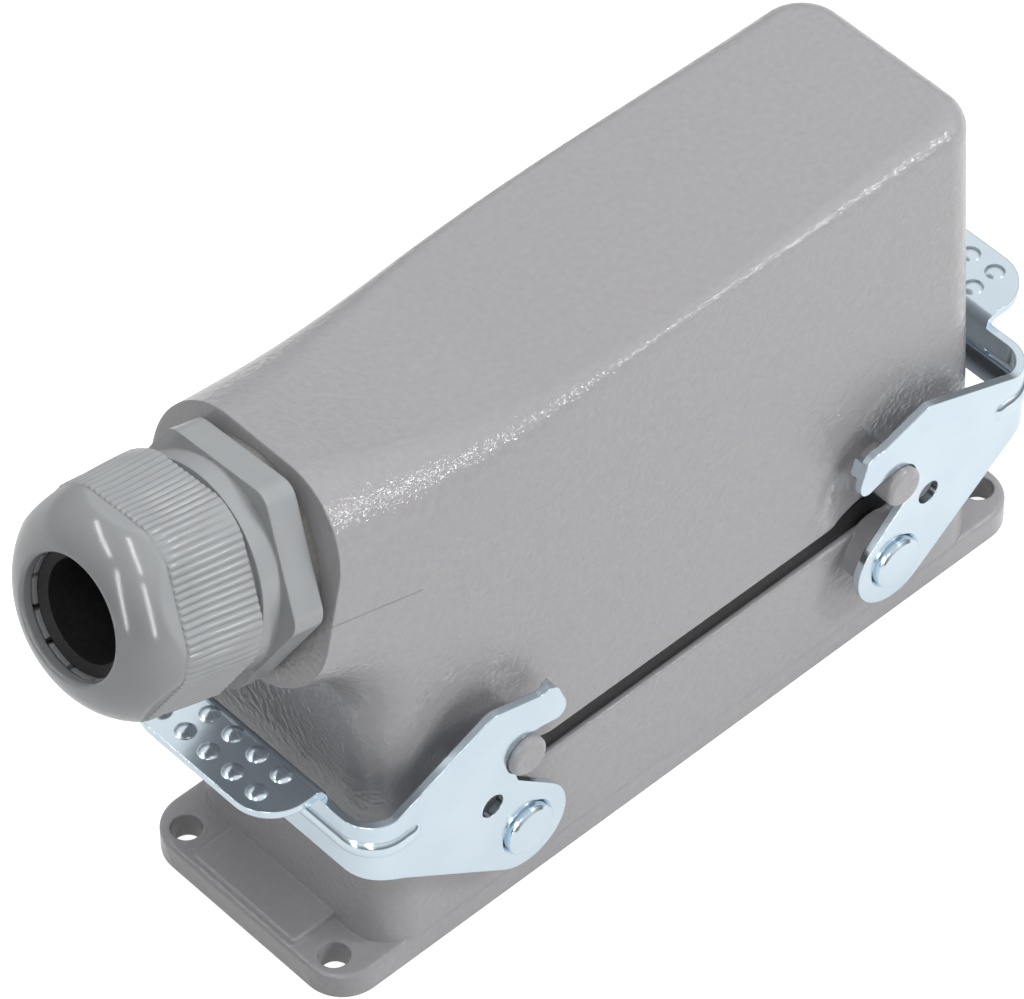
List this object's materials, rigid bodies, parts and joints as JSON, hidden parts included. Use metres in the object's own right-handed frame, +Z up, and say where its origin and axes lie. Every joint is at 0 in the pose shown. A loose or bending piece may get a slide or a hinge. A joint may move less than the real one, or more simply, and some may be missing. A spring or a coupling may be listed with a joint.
{
  "type": "heavy duty rectangular connector",
  "caption": "Mated rectangular power connector: die-cast bulkhead housing with two swinging locking levers, hood with inclined side entry and a clamping cable gland.",
  "frame": {"origin": "centre of the four panel bolt holes on the flange's underside", "axes": "+X along the connector away from the cable gland, +Z up from the panel through the hood"},
  "size_m": [0.1728, 0.0548, 0.1013],
  "materials": {
    "cast_paint": "semi-gloss warm grey powder coat on die-cast aluminium",
    "lever_zinc": "bright blue-white zinc plate",
    "pin_zinc": "bright zinc plate",
    "gland_plastic": "glossy cool grey polyamide",
    "washer_plastic": "matte grey",
    "black_rubber": "matte black",
    "insert_plastic": "light grey moulded",
    "contact_metal": "silver plated",
    "screw_steel": "zinc plated",
    "earth_metal": "tinned"
  },
  "bodies": {
    "housing": {"housing_shell": "cast_paint", "rim_seal": "black_rubber", "flange_seal": "black_rubber", "pivot_pin_left_front": "pin_zinc", "pivot_pin_left_back": "pin_zinc", "pivot_pin_right_front": "pin_zinc", "pivot_pin_right_back": "pin_zinc", "hood_shell": "cast_paint", "gland_body": "gland_plastic", "gland_washer": "washer_plastic", "gland_seal": "black_rubber", "female_insert": "insert_plastic", "female_contacts": "contact_metal", "female_clamp_screws": "screw_steel", "female_fixing_screws": "screw_steel", "female_earth_plates": "earth_metal", "male_insert": "insert_plastic", "male_pins": "contact_metal", "male_clamp_screws": "screw_steel", "male_fixing_screws": "screw_steel", "male_earth_plates": "earth_metal"},
    "lever_left": {"lever_left": "lever_zinc"},
    "lever_right": {"lever_right": "lever_zinc"},
    "gland_nut": {"gland_nut": "gland_plastic"}
  },
  "joints": [
    {"name": "lever_left_swing", "type": "hinge", "parent": "housing", "child": "lever_left", "pos_m": [-0.03665, 0, 0.0185], "axis": [0, -1, 0], "range_deg": [0, 43]},
    {"name": "lever_right_swing", "type": "hinge", "parent": "housing", "child": "lever_right", "pos_m": [0.03665, 0, 0.0185], "axis": [0, 1, 0], "range_deg": [0, 43]},
    {"name": "gland_nut_turn", "type": "hinge", "parent": "housing", "child": "gland_nut", "pos_m": [-0.08415, 0, 0.08447], "axis": [-0.9659, 0, 0.2588], "continuous": true}
  ]
}
